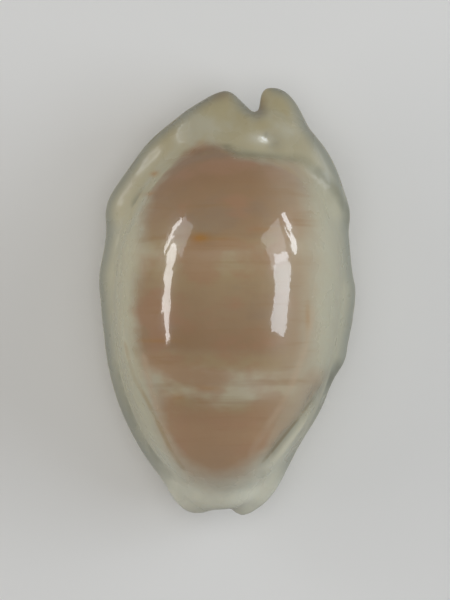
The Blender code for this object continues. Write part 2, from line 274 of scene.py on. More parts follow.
# Grooves, low ridges and thin threads of colour on the back, seen from above, in millimetres.
# The posterior crease starts along the edge of the tan.
POSTERIOR_CREASE = (
    *TAN_OUTLINE[:5],
    (3.02, 5.97),
    (3.64, 5.56),
    (4.20, 5.00),
    (4.69, 4.38),
    (5.02, 3.78),
    (5.12, 3.20),
    (5.12, 2.50),
)
LABRAL_CREASE = (
    (-2.95, 5.30),
    (-3.20, 4.96),
    (-3.45, 4.62),
    (-3.70, 4.28),
    (-3.95, 3.95),
    (-4.12, 3.40),
)
LABRAL_GUTTER = (
    (-4.52, -1.82),
    (-4.43, -2.66),
    (-4.33, -3.50),
    (-4.10, -4.26),
    (-3.80, -5.06),
    (-3.51, -5.69),
    (-3.13, -6.24),
    (-2.71, -6.79),
    (-2.33, -7.34),
    (-1.91, -7.84),
)
COLUMELLAR_GUTTER = (
    (4.55, -2.95),
    (3.78, -3.72),
    (3.15, -4.56),
    (2.43, -5.48),
    (1.71, -6.37),
    (1.29, -6.87),
    (0.96, -7.25),
)
LABRAL_RIM = (
    (-4.56, 3.40),
    (-4.55, 2.18),
    (-4.66, 1.34),
    (-4.64, 0.49),
    (-4.56, -0.35),
    (-4.44, -1.19),
    (-4.25, -1.95),
    (-4.05, -2.54),
    (-3.85, -3.21),
)
COLUMELLAR_RIM = (
    (4.55, -3.50),
    (4.05, -3.98),
    (3.42, -4.80),
    (2.70, -5.72),
    (1.98, -6.60),
    (1.52, -7.25),
    (1.20, -7.80),
)
LABRAL_SKIRT = (
    (-3.63, -1.53),
    (-3.46, -2.24),
    (-3.36, -2.71),
    (-3.17, -3.50),
    (-2.92, -4.35),
    (-2.71, -4.98),
    (-2.41, -5.82),
    (-2.08, -6.45),
    (-1.65, -6.92),
    (-1.23, -7.34),
    (-0.90, -7.67),
)
COLUMELLAR_SKIRT = (
    (3.61, 0.49),
    (3.44, -0.77),
    (3.23, -1.82),
    (2.77, -3.08),
    (2.26, -4.18),
    (1.80, -4.90),
    (1.33, -5.61),
    (0.96, -6.33),
    (0.58, -7.04),
)
LABRAL_THREAD = (
    (-4.43, -0.98),
    (-4.18, -2.03),
    (-3.89, -3.08),
    (-3.46, -3.84),
    (-2.95, -4.85),
    (-2.55, -5.74),
    (-2.22, -6.40),
    (-1.75, -7.05),
    (-1.36, -7.60),
)

# Relief and colour along these lines. Each row: kind of line, its route,
# and the height and half width of its relief in millimetres, with a groove below zero.
LINES = (
    ("crease", POSTERIOR_CREASE, -0.022, 0.17),
    ("crease", LABRAL_CREASE, -0.012, 0.14),
    ("gutter", LABRAL_GUTTER, -0.025, 0.24),
    ("gutter", COLUMELLAR_GUTTER, -0.030, 0.32),
    ("groove", COLUMELLAR_GUTTER, -0.025, 0.14),
    ("rim", LABRAL_RIM, 0.015, 0.18),
    ("rim", COLUMELLAR_RIM, 0.050, 0.20),
    ("skirt", LABRAL_SKIRT, 0.015, 0.14),
    ("skirt", COLUMELLAR_SKIRT, 0.012, 0.16),
    ("thread", LABRAL_THREAD, 0.0, 0.10),
)

# Length over which a line fades at each end, and in millimetres how much farther off a faded end seems,
# and how much farther off every line and the tan seem from the base and the inside
LINE_FADE = 0.9 * MM
LINE_END_DISTANCE = 0.5
FAR_FROM_LINE = 3.0

# Upper side of the shell: the heights, and the upward tilts, between which it comes in
UPPER_HEIGHTS = (0.5 * RIM_HEIGHT, 0.9 * RIM_HEIGHT)
UPPER_TILTS = (0.05, 0.35)

# Tan beside the columellar gutter: where it comes in and where it fades, in millimetres across
GROOVE_SIDE_START = (-0.04, 0.12)
GROOVE_SIDE_END = (0.7, 1.5)

# Small spots on the back, stains and some painted shade and reflection, seen from above in millimetres:
# across, along, half sizes, strength
ORANGE_SPOTS = (
    (-1.12, 2.62, 0.34, 0.19, 0.75),
    (-0.60, 2.58, 0.70, 0.08, 0.30),
    (-3.02, 5.34, 0.20, 0.12, 0.60),
    (-3.30, 4.49, 0.30, 0.08, 0.45),
    (-2.90, -1.60, 0.80, 0.08, 0.35),
    (-2.05, -3.95, 0.30, 0.22, 0.30),
    (-0.80, -3.55, 0.50, 0.10, 0.35),
    (1.55, 2.95, 0.50, 0.10, 0.25),
    (3.30, -0.60, 0.10, 0.60, 0.35),
)
# Brown stains; the first row is painted shade inside the posterior notch
BROWN_SPOTS = (
    (1.35, 8.25, 0.25, 0.40, 0.45),
    (-0.30, 8.70, 0.50, 0.30, 0.30),
    (-1.20, 6.20, 0.45, 0.16, 0.45),
)
# Painted shade: dark grey spots in the columellar groove, beside the posterior crease and at the spire
# pit
PAINTED_SHADE_SPOTS = (
    (3.80, -3.62, 0.24, 0.28, 0.50),
    (3.50, -3.98, 0.22, 0.26, 0.35),
    (4.25, -3.15, 0.28, 0.42, 0.62),
    (4.66, -2.75, 0.18, 0.34, 0.40),
    (1.62, 6.98, 0.10, 0.13, 0.40),
    (3.85, 5.12, 0.50, 0.45, 0.14),
    (4.35, 4.55, 0.38, 0.50, 0.14),
)
# First row: a painted reflection of soft light in the spire pit; second row: a pale patch in the anterior
# pale band
PALE_SPOTS = (
    (1.40, 6.82, 0.52, 0.26, 0.60),
    (0.95, -3.50, 0.95, 0.50, 0.28),
)

# Mesh fineness
BODY_SEGMENTS = 96
BODY_RINGS = 64
PAD_SEGMENTS = 40
PAD_RINGS = 24
MARGIN_STEPS = 6
MARGIN_ROUNDNESS = 8
APERTURE_STEPS = 6
ROUTE_STEPS = 6
VOXEL = 0.118 * MM
ROUNDING_STEPS = 17
JOINING_STEPS = 2
LIP_ROUNDING_STEPS = 5

# Light panels. Each row: name and side, then place along, place up, height and length as shares
# of their distance, then brightness and colour.
PANEL_DISTANCE = 0.15
PANELS = (
    ("left_panel", -1, 0.07, 0.345, 0.15, 0.92, 6.0, (1.0, 1.0, 1.0)),
    ("left_glow", -1, 0.75, 0.45, 0.50, 0.52, 1.4, (0.92, 1.0, 1.06)),
    ("left_edge", -1, 0.62, 0.19, 0.09, 0.50, 5.8, (1.0, 1.0, 1.0)),
    ("right_panel", 1, 0.00, 0.52, 0.40, 0.84, 4.2, (0.90, 0.98, 1.08)),
    ("right_glow", 1, 0.58, 0.64, 0.58, 0.66, 1.5, (0.95, 1.0, 1.05)),
    ("right_edge", 1, 0.56, 0.16, 0.11, 0.55, 6.0, (0.95, 1.0, 1.05)),
)

# Broad soft panel overhead: its height and its side as shares of the same distance, and its brightness
OVERHEAD_HEIGHT = 2.0
OVERHEAD_SIDE = 2.0
OVERHEAD_LIGHT = 0.95

# Even light from all around, the colour that it and the overhead panel have, and the pale floor's colour
AIR_LIGHT = 0.24
SOFT_WHITE = (1.0, 0.99, 0.97)
FLOOR_COLOUR = (0.80, 0.79, 0.77, 1.0)

# Picture: its size in pixels, the shell's length and middle in it, and the real length of one pixel
# at the shell's rim
PICTURE_WIDTH = 450
PICTURE_HEIGHT = 600
SHELL_LENGTH_IN_PICTURE = 427.5
SHELL_MIDDLE_IN_PICTURE = (227.3, 301.75)
PIXEL = SHELL_LENGTH / SHELL_LENGTH_IN_PICTURE


def linear(red, green, blue):
    """A colour as the eye names it, from 0 to 255, as the light it sends back."""
    found = []
    for part in (red, green, blue):
        share = part / 255
        found.append(share / 12.92 if share <= 0.04045 else ((share + 0.055) / 1.055) ** 2.4)
    return (*found, 1.0)


# Colours of the enamel
TAN = linear(151, 118, 84)
PALE_BAND = linear(189, 177, 148)
BLUSH = linear(166, 124, 94)
ROSE = linear(184, 145, 110)
GROWTH_LINE = linear(150, 114, 72)
HONEY = linear(164, 140, 88)
ASH = linear(130, 118, 106)
# Grey of the painted shade along the outline
OUTLINE_SHADE_GREY = linear(130, 133, 126)
PALE_SIDE = linear(172, 151, 124)
CALLUS_CLOUD = linear(184, 182, 166)
# Greyer callus of the columellar side, darkened as painted shade against the brighter right-hand light
COLUMELLAR_CALLUS_AND_SHADE = linear(178, 174, 152)
ORANGE_STAIN = linear(170, 118, 44)
# Brown of the stains and of the painted shade in the posterior notch
BROWN_STAIN_AND_NOTCH_SHADE = linear(132, 100, 66)
# Grey of the painted shade spots
PAINTED_SHADE_GREY = linear(108, 106, 92)
# Colour of the painted reflection in the spire pit and of the pale patch
PALE_PATCH_AND_PAINTED_REFLECTION = linear(204, 200, 182)
BASE_WHITE = linear(216, 209, 188)
BETWEEN_TEETH = linear(196, 182, 152)
INSIDE = linear(168, 150, 142)

# Gloss of the enamel: its values that are the same all over
ENAMEL = {
    "IOR": 1.5,
    "Specular IOR Level": 0.3,
    "Coat IOR": 1.6,
    "Coat Roughness": 0.03,
    "Subsurface Weight": 0.12,
    "Subsurface Radius": (1.0, 0.7, 0.45),
    "Subsurface Scale": 0.6 * MM,
}

# Share of the back's clear gloss that the satin callus has, how quickly the pale spots reach all of it,
# and how much less rough the back is
CALLUS_COAT = 0.12
PALE_SPOT_GLAZE = 2.0
BACK_SMOOTHNESS = 0.09

# Painted shade along the shell's outline, where the margins turn away from the light: its share there,
# its reach in millimetres, and where it comes in behind the anterior end
OUTLINE_SHADE_SHARE = 0.7
OUTLINE_SHADE_REACH = 0.6
OUTLINE_SHADE_ENDS = (-8.4 * MM, -6.6 * MM)

# Colour of each kind of line, how strong it is, and how far it reaches in millimetres.
# It is at full strength within the core.
LINE_CORE = 0.02
LINE_COLOURS = {
    "skirt": (linear(190, 166, 138), 0.48, 0.24),
    # Rim colour: a painted highlight along the ridge crests
    "rim": (linear(212, 206, 182), 0.50, 0.22),
    "thread": (linear(158, 130, 82), 0.45, 0.14),
    # Crease and gutter colours: painted shade in these grooves
    "crease": (linear(120, 120, 100), 0.55, 0.34),
    "gutter": (linear(130, 130, 114), 0.55, 0.40),
    "groove": (linear(120, 100, 64), 0.55, 0.10),
}

# Stains and spots of painted shade and reflection: the name that their share is kept under, where they
# are, and their colour
STAINS_AND_PAINTED_SPOTS = (
    ("pale_spots", PALE_SPOTS, PALE_PATCH_AND_PAINTED_REFLECTION),
    ("orange_spots", ORANGE_SPOTS, ORANGE_STAIN),
    ("brown_spots", BROWN_SPOTS, BROWN_STAIN_AND_NOTCH_SHADE),
    ("painted_shade_spots", PAINTED_SHADE_SPOTS, PAINTED_SHADE_GREY),
)

# Bands across the back: place along in millimetres, and how pale the enamel is there
BACK_START = -8.0
BACK_END = 7.0
BAND_STOPS = tuple(
    (where, (pale, pale, pale, 1.0))
    for where, pale in (
        (-7.9, 0.95),
        (-7.0, 0.65),
        (-6.5, 0.42),
        (-5.8, 0.32),
        (-5.0, 0.32),
        (-4.6, 0.50),
        (-3.8, 0.95),
        (-3.0, 0.85),
        (-2.3, 0.35),
        (-1.7, 0.10),
        (-0.4, 0.18),
        (0.7, 0.28),
        (1.5, 0.55),
        (2.05, 0.70),
        (2.8, 0.25),
        (3.8, 0.12),
        (5.2, 0.0),
        (6.6, 0.0),
    )
)

# Colour of the callus along the shell, in millimetres
CALLUS_START = -9.0
CALLUS_END = 9.0
CALLUS_STOPS = (
    (-8.6, linear(212, 210, 192)),
    (-4.0, linear(191, 186, 161)),
    (2.0, linear(191, 185, 159)),
    (5.5, linear(180, 171, 142)),
    (8.0, linear(168, 157, 124)),
)

# Honey beside the pale bands: how pale a band is where it comes in, and where it goes, and its share
HONEY_START = (0.12, 0.40)
HONEY_END = (0.85, 0.45)
HONEY_SHARE = 0.30

# Edge of the tan: the depths in millimetres between which it comes in, for a width of 1, and the width,
# which grows in the pale bands and across towards the columellar side
TAN_EDGE = (-0.40, 0.90)
EDGE_WIDTH_IN_BANDS = 1.1
EDGE_WIDTH_RUN = (1.5, 3.2)
EDGE_WIDTHS = (0.45, 1.0)
BESIDE_GROOVE_SHARE = 0.8

# Depths in the tan, in millimetres, between which its growth lines and its clear gloss come in
GROWTH_EDGE = (-0.4, 0.8)
GLOSS_EDGE = (-0.2, 0.5)

# Where a colour comes in and is full, in millimetres along, across, across and up, and its share
ROSE_RUN = (-4.0, -5.6)
ROSE_SHARE = 0.65
PALE_SIDE_RUN = (0.9, 3.4)
PALE_SIDE_SHARE = 0.9
# Greyer, darker callus towards the columella: partly its own colour, partly painted shade against the
# brighter right-hand light
COLUMELLAR_SHADE_RUN = (2.2, 4.8)
COLUMELLAR_SHADE_SHARE = 0.9
BASE_RUN = (1.7, 0.7)
BETWEEN_TEETH_SHARE = 0.7

# Cloudy patterns of the enamel. Each row: waves in a millimetre along X, Y and Z, fineness, roughness,
# the noise's values between which the pattern comes in, and its least and greatest share.
CLOUDS = {
    "band_patches": ((0.38, 0.9, 0.38), 3.0, 0.5, (0.36, 0.58), (0.70, 1.0)),
    "growth_lines": ((0.15, 2.8, 0.3), 2.0, 0.55, (0.50, 0.72), (0.0, 1.0)),
    "growth_breaks": ((0.35, 0.8, 0.35), 2.0, 0.5, (0.40, 0.62), (0.08, 0.40)),
    "ash": ((0.35, 0.5, 0.35), 3.0, 0.5, (0.50, 0.66), (0.0, 0.25)),
    "blush": ((0.5, 0.8, 0.5), 3.0, 0.5, (0.44, 0.62), (0.0, 0.50)),
    "callus": ((0.6, 0.45, 0.6), 3.0, 0.5, (0.4, 0.7), (0.0, 0.5)),
    "line_breaks": ((0.8, 0.8, 0.8), 2.0, 0.5, (0.38, 0.62), (0.45, 1.0)),
    "satin": ((0.8, 0.8, 0.8), 3.0, 0.5, (0.3, 0.7), (0.24, 0.36)),
}

# How the edges of colours wander: waves in a millimetre along X, Y and Z, and the reach in millimetres
WANDERS = {
    "bands": ((0.45, 0.5, 0.45), 0.9),
    "callus": ((0.3, 0.3, 0.3), 2.0),
    "tan_streaks": ((0.30, 1.6, 0.5), 0.4),
    "tan_edge": ((0.9, 0.7, 0.9), 0.5),
    "pale_side": ((0.3, 0.4, 0.3), 0.9),
}

# Fine relief of the enamel: a faint unevenness, small ripples, a fine grain and growth lines.
# Each row: waves in a millimetre along X, Y and Z, fineness, and height in millimetres.
RELIEF = (
    ((0.7, 0.6, 0.7), 1.0, 0.045),
    ((2.2, 1.8, 2.2), 1.0, 0.010),
    ((5.5, 5.0, 5.5), 1.0, 0.0016),
    ((0.25, 4.0, 0.4), 2.0, 0.0012),
)


def pick(thing):
    """Makes this object the only one selected, and the active one."""
    bpy.ops.object.select_all(action="DESELECT")
    thing.select_set(True)
    bpy.context.view_layer.objects.active = thing


def settle(thing, name):
    """Names a new object and puts its place, turn and scale into its mesh."""
    thing.name = name
    pick(thing)
    bpy.ops.object.transform_apply(location=True, rotation=True, scale=True)
    return thing


def finish_with(thing, kind, **settings):
    """Adds a modifier with its settings and applies it."""
    pick(thing)
    bpy.ops.object.modifier_add(type=kind)
    modifier = thing.modifiers[-1]
    for name, value in settings.items():
        setattr(modifier, name, value)
    bpy.ops.object.modifier_apply(modifier=modifier.name)


def join(name, things):
    pick(things[0])
    for thing in things:
        thing.select_set(True)
    bpy.ops.object.join()
    things[0].name = name
    return things[0]


def between(before, start, end, after, t):
    """Value on a Catmull-Rom curve, from start at t = 0 to end at t = 1."""
    square = 2 * before - 5 * start + 4 * end - after
    cube = 3 * start - before - 3 * end + after
    return 0.5 * (2 * start + (end - before) * t + square * t**2 + cube * t**3)


def smooth_route(rows, per_span, closed=False):
    """Rows on a smooth curve through a table's rows."""
    if closed:
        padded = [rows[-1], *rows, rows[0], rows[1]]
    else:
        padded = [rows[0], *rows, rows[-1]]
    found = []
    for quad in zip(padded, padded[1:], padded[2:], padded[3:]):
        for step in range(per_span):
            found.append(tuple(between(*values, step / per_span) for values in zip(*quad)))
    found.append(rows[0] if closed else rows[-1])
    return found


def ease(value, start, end):
    """0 at start and 1 at end, with a smooth run between them."""
    t = np.clip((value - start) / (end - start), 0.0, 1.0)
    return t * t * (3 - 2 * t)


def power(value, exponent):
    return math.copysign(abs(value) ** exponent, value)


def body_point(n, inset):
    """Place on the domed body of a point of the unit sphere, moved in by inset."""
    end = "posterior" if n.y > 0 else "anterior"
    reach = (BODY_POSTERIOR if n.y > 0 else BODY_ANTERIOR) - inset
    around = math.hypot(n.x, n.z)
    side = n.x / around if around else 0.0
    lift = n.z / around if around else 0.0
    fullness = BACK_FULLNESS if lift > 0 else BASE_FULLNESS
    width = (BODY_HALF_WIDTH - inset) * around ** PLAN_TAPER[end]
    if lift > 0:
        depth = (SHELL_HEIGHT - RIM_HEIGHT - inset) * around ** BACK_TAPER[end]
    else:
        depth = (BASE_DEPTH - inset) * around ** BASE_TAPER[end]
    posterior = max(0.0, n.y) ** 2
    across = width * power(side, fullness)
    y = BODY_MIDDLE + reach * n.y - BODY_SKEW * across * posterior
    x = across + BODY_LEAN * y + BODY_POSTERIOR_SHIFT * posterior
    return Vector((x, y, RIM_HEIGHT + depth * power(lift, fullness)))


def add_body(name, inset=0.0):
    """The domed body, a ball with its poles along Y pressed to the body's own roundness."""
    quarter_turn = math.radians(90)
    bpy.ops.mesh.primitive_uv_sphere_add(
        segments=BODY_SEGMENTS, ring_count=BODY_RINGS, radius=1.0, rotation=(quarter_turn, 0, 0)
    )
    body = settle(bpy.context.object, name)
    for vert in body.data.vertices:
        vert.co = body_point(vert.co.normalized(), inset)
    return body


def add_pad(name, middle, half, turn=0):
    bpy.ops.mesh.primitive_uv_sphere_add(
        segments=PAD_SEGMENTS,
        ring_count=PAD_RINGS,
        radius=1.0,
        location=[place * MM for place in middle],
        rotation=(0, 0, math.radians(turn)),
        scale=[size * MM for size in half],
    )
    return settle(bpy.context.object, name)


def margin_route(table, inward):
    """Middles and radii of a margin whose outline, seen from above, is the table's."""
    edge = []
    for across, along, radius, height in smooth_route(table, MARGIN_STEPS):
        edge.append((across * HALF_WIDTH, along * HALF_LENGTH, radius * MM, height * MM))
    route = []
    for i, (x, y, radius, height) in enumerate(edge):
        before = edge[max(i - 1, 0)]
        after = edge[min(i + 1, len(edge) - 1)]
        along = Vector((after[0] - before[0], after[1] - before[1])).normalized()
        middle = Vector((x - along.y * inward * radius, y + along.x * inward * radius, height))
        route.append((middle, radius))
    return route


def add_margin(name, table, inward):
    """A round margin: a path with its own thickness at each point, and a ball on each end."""
    route = margin_route(table, inward)
    bpy.ops.curve.primitive_nurbs_path_add()
    path = bpy.context.object
    path.data.splines.clear()
    spline = path.data.splines.new("POLY")
    spline.points.add(len(route) - 1)
    for point, (place, radius) in zip(spline.points, route):
        point.co = (*place, 1.0)
        point.radius = radius
    path.data.bevel_depth = 1.0
    path.data.bevel_resolution = MARGIN_ROUNDNESS
    path.data.use_fill_caps = True
    bpy.ops.object.convert(target="MESH")
    tube = settle(bpy.context.object, name)
    balls = []
    for place, radius in (route[0], route[-1]):
        bpy.ops.mesh.primitive_uv_sphere_add(
            segments=PAD_SEGMENTS, ring_count=PAD_RINGS, radius=radius, location=place
        )
        balls.append(settle(bpy.context.object, name + "_end"))
    return join(name, [tube, *balls])


def run_together(thing, steps):
    """One even skin over everything that overlaps, rounded off by so many steps."""
    finish_with(thing, "REMESH", mode="VOXEL", voxel_size=VOXEL)
    finish_with(thing, "SMOOTH", factor=0.5, iterations=steps)


def fill_grooves(thing, reach):
    """Grows the skin by reach and shrinks it back, which leaves a fillet in each groove."""
    for way in (1, -1):
        finish_with(thing, "DISPLACE", mid_level=0.0, strength=way * reach)
        run_together(thing, JOINING_STEPS)


def cut(thing, cutter):
    finish_with(thing, "BOOLEAN", operation="DIFFERENCE", solver="EXACT", object=cutter)
    bpy.data.objects.remove(cutter)


def add_notch_cutter():
    """An upright wedge over the posterior notch."""
    bpy.ops.mesh.primitive_circle_add(vertices=len(POSTERIOR_NOTCH), radius=1.0, fill_type="NGON")
    wedge = settle(bpy.context.object, "notch_cutter")
    for vert, (across, along) in zip(wedge.data.vertices, POSTERIOR_NOTCH):
        vert.co = (across * HALF_WIDTH, along * HALF_LENGTH, 0.0)
    bpy.ops.object.mode_set(mode="EDIT")
    bpy.ops.mesh.select_all(action="SELECT")
    bpy.ops.mesh.extrude_region_move(TRANSFORM_OT_translate={"value": (0, 0, SHELL_HEIGHT)})
    bpy.ops.mesh.select_all(action="SELECT")
    bpy.ops.mesh.normals_make_consistent(inside=False)
    bpy.ops.object.mode_set(mode="OBJECT")
    return wedge


def aperture_route():
    """Middle and half width of the aperture, close together, from the posterior end."""
    rows = smooth_route(APERTURE, APERTURE_STEPS)
    return [(Vector((x * HALF_WIDTH, y * HALF_LENGTH, 0)), half * MM) for x, y, half in rows]


def aperture_ring(route, i):
    """Section across the aperture at one point of its route: flared below so that both lips round over,
    and arched above."""
    middle, half = route[i]
    before = route[max(i - 1, 0)][0]
    after = route[min(i + 1, len(route) - 1)][0]
    along = (after - before).normalized()
    across = Vector((-along.y, along.x, 0))
    share = min(1.0, abs(middle.y) / HALF_LENGTH) ** END_SHARPNESS
    top = APERTURE_TOP + (APERTURE_TOP_AT_ENDS - APERTURE_TOP) * share
    flare = LIP_FLARE + (LIP_FLARE_AT_ENDS - LIP_FLARE) * share
    profile = [(half + flare * out, LIP_DEPTH * up) for out, up in LIP_SECTION]
    profile += [(half, top - half * ROOF_ARCH), (half * ROOF_FLAT, top)]
    outline = [(-w, z) for w, z in profile] + [(w, z) for w, z in reversed(profile)]
    return [middle + across * w + Vector((0, 0, z)) for w, z in outline]


def add_aperture_cutter():
    """A blade along the aperture: one section, extruded from each point of the route to the next."""
    route = aperture_route()
    first = aperture_ring(route, 0)
    bpy.ops.mesh.primitive_circle_add(vertices=len(first), radius=1.0, fill_type="NGON")
    blade = settle(bpy.context.object, "aperture_cutter")
    for vert, place in zip(blade.data.vertices, first):
        vert.co = place
    bpy.ops.object.mode_set(mode="EDIT")
    bpy.ops.mesh.select_all(action="SELECT")
    for i in range(1, len(route)):
        bpy.ops.mesh.extrude_region_move()
        section = bmesh.from_edit_mesh(blade.data)
        previous = aperture_ring(route, i - 1)
        following = aperture_ring(route, i)
        for vert in section.verts:
            if vert.select:
                nearest = min(range(len(previous)), key=lambda k: (previous[k] - vert.co).length)
                vert.co = following[nearest]
        bmesh.update_edit_mesh(blade.data)
    bpy.ops.mesh.select_all(action="SELECT")
    bpy.ops.mesh.normals_make_consistent(inside=False)
    bpy.ops.object.mode_set(mode="OBJECT")
    return blade


def places_of(thing):
    places = np.zeros(len(thing.data.vertices) * 3)
    thing.data.vertices.foreach_get("co", places)
    return places.reshape(-1, 3)


def normals_of(thing):
    normals = np.zeros(len(thing.data.vertices) * 3)
    thing.data.vertices.foreach_get("normal", normals)
    return normals.reshape(-1, 3)


def put_places(thing, places):
    thing.data.vertices.foreach_set("co", places.ravel())
    thing.data.update()


def note(thing, name, values):
    """Keeps one number for each point of the mesh, for its material."""
    attribute = thing.data.attributes.new(name, "FLOAT", "POINT")
    attribute.data.foreach_set("value", values.astype(np.float32))


def press_spire_pit(shell):
    places = places_of(shell)
    middle = np.array(SPIRE_PIT_MIDDLE) * MM
    away = np.linalg.norm(places[:, :2] - middle, axis=1)
    sunk = SPIRE_PIT_DEPTH * MM * np.exp(-((away / (SPIRE_PIT_RADIUS * MM)) ** 2))
    places[:, 2] -= np.where(places[:, 2] > RIM_HEIGHT, sunk, 0.0)
    put_places(shell, places)


def sink_between_teeth(shell):
    """Grooves across both lips and up into the aperture, which leave the teeth standing between them."""
    places = places_of(shell)
    x, y, z = places.T
    route = aperture_route()[::-1]
    along = [middle.y for middle, half in route]
    middle = np.interp(y, along, [middle.x for middle, half in route])
    half = np.interp(y, along, [half for middle, half in route])
    labral = x < middle
    reach = np.where(labral, LABRAL_TOOTH_REACH, COLUMELLAR_TOOTH_REACH)
    count = np.where(labral, LABRAL_TEETH, COLUMELLAR_TEETH)
    turns = count * (y - TEETH_START) / (TEETH_END - TEETH_START)
    groove = (0.5 + 0.5 * np.cos(2 * math.pi * turns)) ** GROOVE_SHARPNESS
    outwards = 1 - ease((np.abs(x - middle) - half) / reach, GROOVE_FLOOR, 1.0)
    upwards = 1 - ease(z, TEETH_TOP / 2, TEETH_TOP)
    anterior = ease(y, TEETH_START, TEETH_START + TEETH_FADE)
    posterior = 1 - ease(y, TEETH_END - TEETH_FADE, TEETH_END)
    share = groove * outwards * upwards * (anterior * posterior)
    put_places(shell, places - normals_of(shell) * (GROOVE_DEPTH * share)[:, None])
    note(shell, "between_teeth", share)


def plan_distance(places, outline, closed=False):
    """Distance seen from above of each place to a route in millimetres, positive on the route's right,
    and how far along the route the nearest point is, with the route's length. All in metres."""
    route = np.array(smooth_route(outline, ROUTE_STEPS, closed)) * MM
    best = np.full(len(places), np.inf)
    side = np.ones(len(places))
    travelled = np.zeros(len(places))
    run = 0.0
    for start, end in zip(route, route[1:]):
        step = end - start
        length = np.linalg.norm(step)
        away = places[:, :2] - start
        share = np.clip(away @ step / length**2, 0.0, 1.0)
        distance = np.linalg.norm(away - share[:, None] * step, axis=1)
        nearer = distance < best
        turn = away[:, 1] * step[0] - away[:, 0] * step[1]
        best = np.where(nearer, distance, best)
        side = np.where(nearer, np.where(turn > 0, -1.0, 1.0), side)
        travelled = np.where(nearer, run + share * length, travelled)
        run += length
    return best * side, travelled, run


def line_distance(places, outline):
    """Distance in millimetres to a line on the back. It grows towards the line's two ends,
    so that the line fades out there."""
    distance, travelled, length = plan_distance(places, outline)
    fade = ease(travelled, 0.0, LINE_FADE) * (1 - ease(travelled, length - LINE_FADE, length))
    return np.abs(distance) / MM + (1 - fade) * LINE_END_DISTANCE


def upper_share(shell):
    """1 on the upper side of the shell and 0 on its base, with a smooth run between them."""
    height = ease(places_of(shell)[:, 2], *UPPER_HEIGHTS)
    return height * ease(normals_of(shell)[:, 2], *UPPER_TILTS)


def carve_back(shell):
    """Creases where the callus laps on the back, and the low rims and skirts of the enamel."""
    places = places_of(shell)
    move = np.zeros(len(places))
    for kind, route, height, half_width in LINES:
        if height:
            move += height * MM * np.exp(-((line_distance(places, route) / half_width) ** 2))
    put_places(shell, places + normals_of(shell) * (move * upper_share(shell))[:, None])


def fit_to_frame(shell):
    """Scales the shell to the frame's box, a little low, and wears its base flat at z = 0."""
    places = places_of(shell)
    low = places.min(axis=0)
    high = places.max(axis=0)
    wanted_low = np.array((shell_low[0], shell_low[1], shell_low[2] - WORN_DEPTH))
    wanted_high = np.array(shell_high)
    places = wanted_low + (places - low) / (high - low) * (wanted_high - wanted_low)
    places[:, 2] = np.maximum(places[:, 2], shell_low[2])
    put_places(shell, places)


def build_shell():
    """The body with its thick callus, the thinner callus over them, and then what is cut out."""
    body_and_callus = [
        add_body("body"),
        add_margin("labral_margin", LABRAL_MARGIN, 1),
        add_pad("shelf_pad", *SHELF_PAD),
        add_pad("corner_pad", *CORNER_PAD),
        add_pad("shoulder_pad", *SHOULDER_PAD),
        add_pad("labral_lip_pad", *LABRAL_LIP_PAD),
        add_pad("columellar_lip_pad", *COLUMELLAR_LIP_PAD),
    ]
    shell = join("cowrie_shell", body_and_callus)
    run_together(shell, JOINING_STEPS)
    fill_grooves(shell, CALLUS_FILLET)
    thin_callus = [
        add_margin("columellar_margin", COLUMELLAR_MARGIN, -1),
        add_pad("posterior_roof_pad", *POSTERIOR_ROOF_PAD),
        add_pad("anterior_roof_pad", *ANTERIOR_ROOF_PAD),
    ]
    shell = join("cowrie_shell", [shell, *thin_callus])
    run_together(shell, JOINING_STEPS)
    fill_grooves(shell, SKIN_FILLET)
    cut(shell, add_notch_cutter())
    run_together(shell, ROUNDING_STEPS)
    press_spire_pit(shell)
    cut(shell, add_aperture_cutter())
    chamber = add_body("chamber", WALL)
    cut(chamber, add_pad("whorl", WHORL_MIDDLE, WHORL_HALF))
    cut(shell, chamber)
    run_together(shell, LIP_ROUNDING_STEPS)
    sink_between_teeth(shell)
    carve_back(shell)
    fit_to_frame(shell)
    pick(shell)
    bpy.ops.object.shade_smooth()
    return shell


def inside_shell(shell):
    """1 for the points in the living chamber, found by looking upwards and down from each of them."""
    graph = bpy.context.evaluated_depsgraph_get()
    tree = BVHTree.FromObject(shell, graph)
    found = np.zeros(len(shell.data.vertices))
    upwards = [Vector(way) for way in LOOKS_UP]
    for i, vert in enumerate(shell.data.vertices):
        start = vert.co + vert.normal * LOOK_LIFT
        if any(tree.ray_cast(start, way)[0] is None for way in upwards):
            continue
        facing_up = vert.normal.z > 0
        high = vert.co.z > CHAMBER_HEIGHT
        if facing_up or high or tree.ray_cast(start, Vector((0, 0, -1)))[0] is not None:
            found[i] = 1.0
    return found


def beside_groove(places):
    """Share of the tan that reaches down beside the columellar gutter."""
    past, travelled, length = plan_distance(places, COLUMELLAR_GUTTER)
    across = ease(past / MM, *GROOVE_SIDE_START) * (1 - ease(past / MM, *GROOVE_SIDE_END))
    along = ease(travelled, 0.0, LINE_FADE) * (1 - ease(travelled, length - 2 * LINE_FADE, length))
    return across * along


def outline_shade_share(places):
    """Share of the painted shade along the shell's outline, where the margins turn away from the light.
    """
    away = []
    for table in (LABRAL_MARGIN, COLUMELLAR_MARGIN):
        outline = [(x * HALF_WIDTH / MM, y * HALF_LENGTH / MM) for x, y, radius, height in table]
        away.append(np.abs(plan_distance(places, outline)[0]) / MM)
    edge = np.minimum.reduce(away)
    return OUTLINE_SHADE_SHARE * ease(places[:, 1], *OUTLINE_SHADE_ENDS) * (1 - ease(edge, 0.0, OUTLINE_SHADE_REACH))


def spot_share(places, spots):
    """Share of one table of spots, in soft spots: stains, painted shade and painted reflection."""
    total = np.zeros(len(places))
    for x, y, across, along, strength in spots:
        away = np.hypot((places[:, 0] / MM - x) / across, (places[:, 1] / MM - y) / along)
        total += strength * np.exp(-(away**2))
    return total


